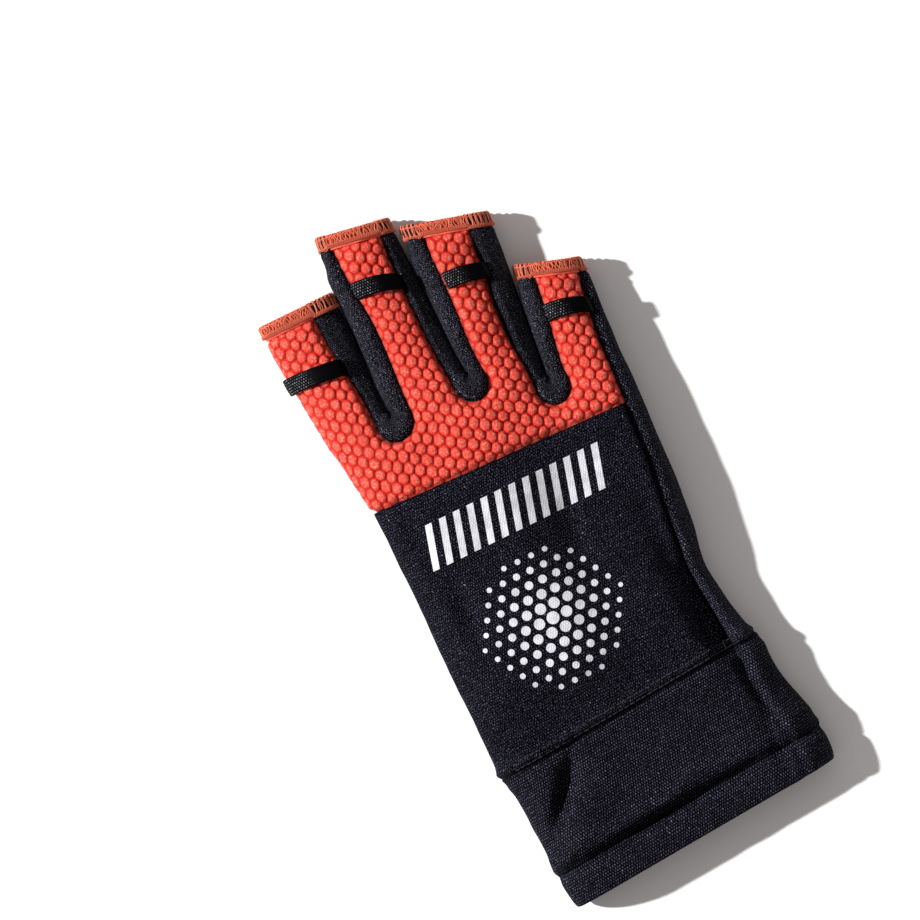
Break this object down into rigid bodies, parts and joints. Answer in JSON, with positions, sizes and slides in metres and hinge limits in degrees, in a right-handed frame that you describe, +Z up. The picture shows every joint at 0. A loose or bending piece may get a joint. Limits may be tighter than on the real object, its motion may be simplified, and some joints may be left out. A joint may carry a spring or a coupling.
{
  "type": "fingerless running glove",
  "caption": "Fingerless running glove for the right hand, lying palm down, with a knit cuff, honeycomb knuckle panel, gussets between open finger stalls and elastic finger loops.",
  "frame": {"origin": "on the surface that the glove lies on, under the middle of its outline", "axes": "+Y from the cuff to the fingertips, +X from the thumb side to the little-finger side, +Z up from the palm to the back of the hand"},
  "size_m": [0.111, 0.2366, 0.023],
  "materials": {
    "black_knit": "matt knit with fine light specks",
    "coral_honeycomb": "matt honeycomb mesh",
    "coral_thread": "overlocked thread",
    "black_elastic": "braided elastic with a slight gloss"
  },
  "bodies": {
    "root": {"back_panel": "black_knit", "cuff": "black_knit", "cuff_hem": "black_knit", "palm_panel": "black_knit", "thumb_stall": "black_knit", "fourchette_index_middle": "black_knit", "fourchette_middle_ring": "black_knit", "fourchette_ring_pinky": "black_knit", "knuckle_panel": "coral_honeycomb", "tip_binding_index": "coral_thread", "tip_binding_middle": "coral_thread", "tip_binding_ring": "coral_thread", "tip_binding_pinky": "coral_thread", "tip_binding_thumb": "coral_thread", "finger_loop_index": "black_elastic", "finger_loop_middle": "black_elastic", "finger_loop_ring": "black_elastic", "finger_loop_pinky": "black_elastic"}
  },
  "joints": []
}
